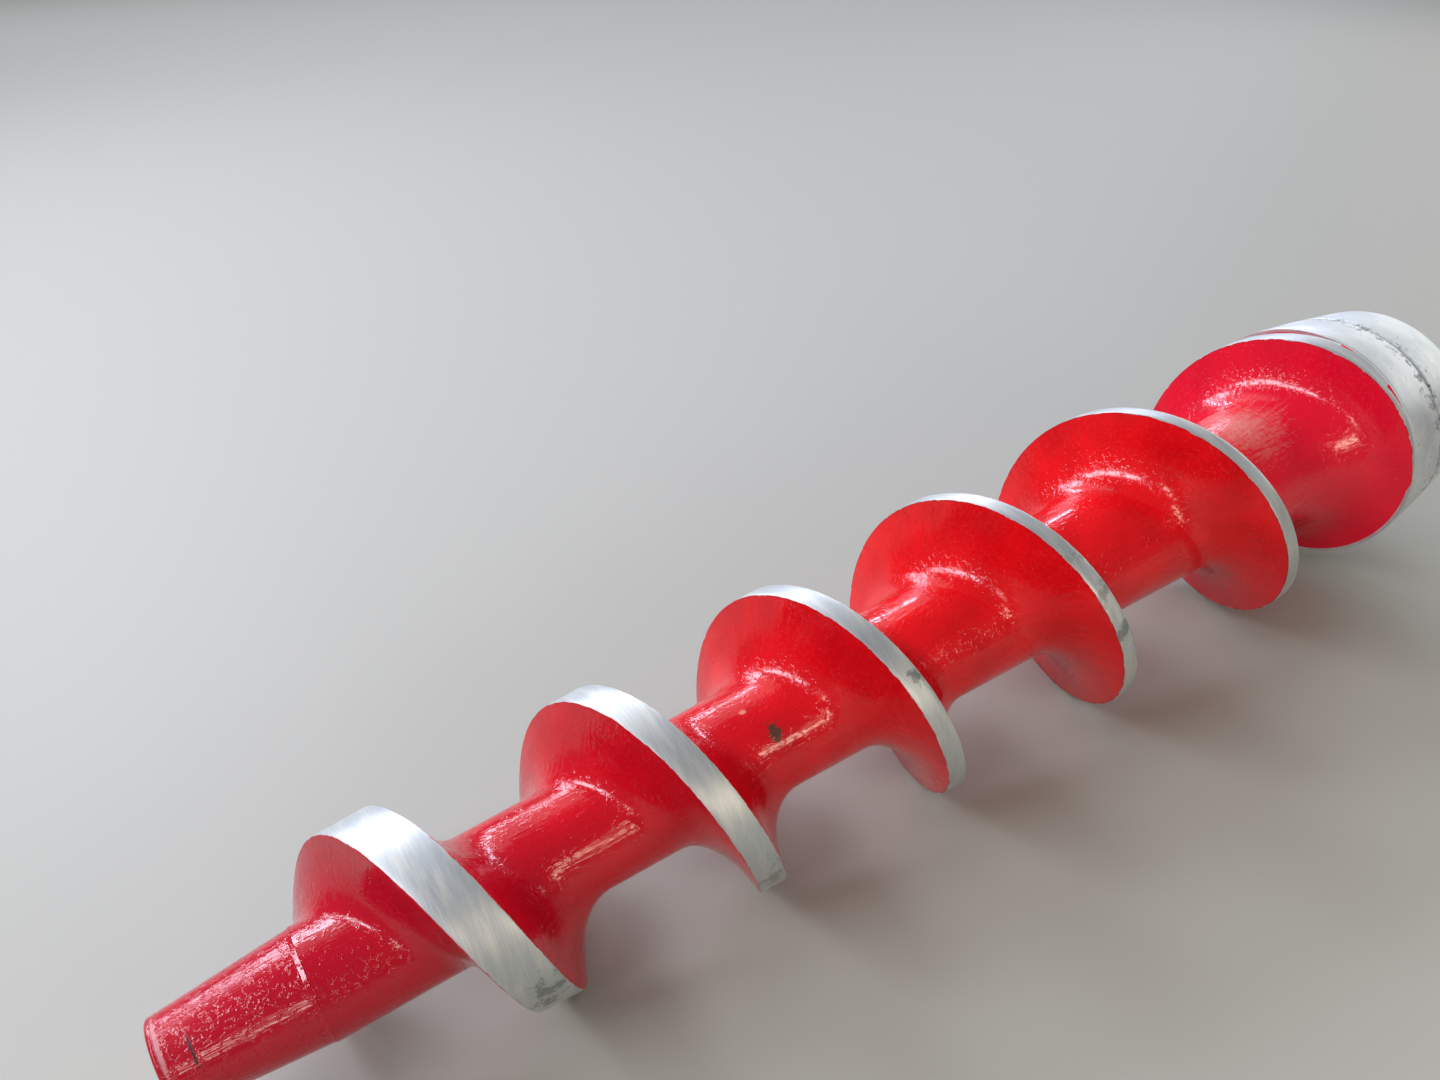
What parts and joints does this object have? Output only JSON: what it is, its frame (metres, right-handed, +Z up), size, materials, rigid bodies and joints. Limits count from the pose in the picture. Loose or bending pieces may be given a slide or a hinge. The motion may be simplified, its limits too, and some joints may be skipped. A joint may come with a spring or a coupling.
{
  "type": "plug feeder screw",
  "caption": "Conical plug feed screw with a right-hand flight, bare ground rim and machined drive hub, lying on its flight.",
  "frame": {"origin": "on the floor, under the middle of the screw's length and width", "axes": "+X from the nose towards the hub, level; +Z up; the screw's own axis rises with the cone's slope towards the hub"},
  "size_m": [2.5834, 0.499, 0.5344],
  "materials": {
    "red_enamel_core": "brushed gloss enamel over cast steel",
    "red_enamel_flight": "brushed gloss enamel over cast steel",
    "red_enamel_nose": "thick gloss enamel with orange peel",
    "hard_faced_rim": "ground bare hard facing",
    "turned_steel": "turned bare steel with dull patches",
    "nose_end_steel": "sawn and faced bare steel"
  },
  "bodies": {
    "root": {"nose_end_cap": "nose_end_steel", "nose_stub": "red_enamel_nose", "nose_seam_ring": "red_enamel_nose", "root_shaft": "red_enamel_core", "flight_turn_1": "red_enamel_flight", "rim_strip_1": "hard_faced_rim", "flight_turn_2": "red_enamel_flight", "rim_strip_2": "hard_faced_rim", "flight_turn_3": "red_enamel_flight", "rim_strip_3": "hard_faced_rim", "flight_turn_4": "red_enamel_flight", "rim_strip_4": "hard_faced_rim", "flight_turn_5": "red_enamel_flight", "rim_strip_5": "hard_faced_rim", "flight_turn_6": "red_enamel_flight", "rim_strip_6": "hard_faced_rim", "hub_flare": "red_enamel_core", "hub_drum": "turned_steel", "hub_neck": "turned_steel", "hub_collar": "turned_steel"}
  },
  "joints": []
}
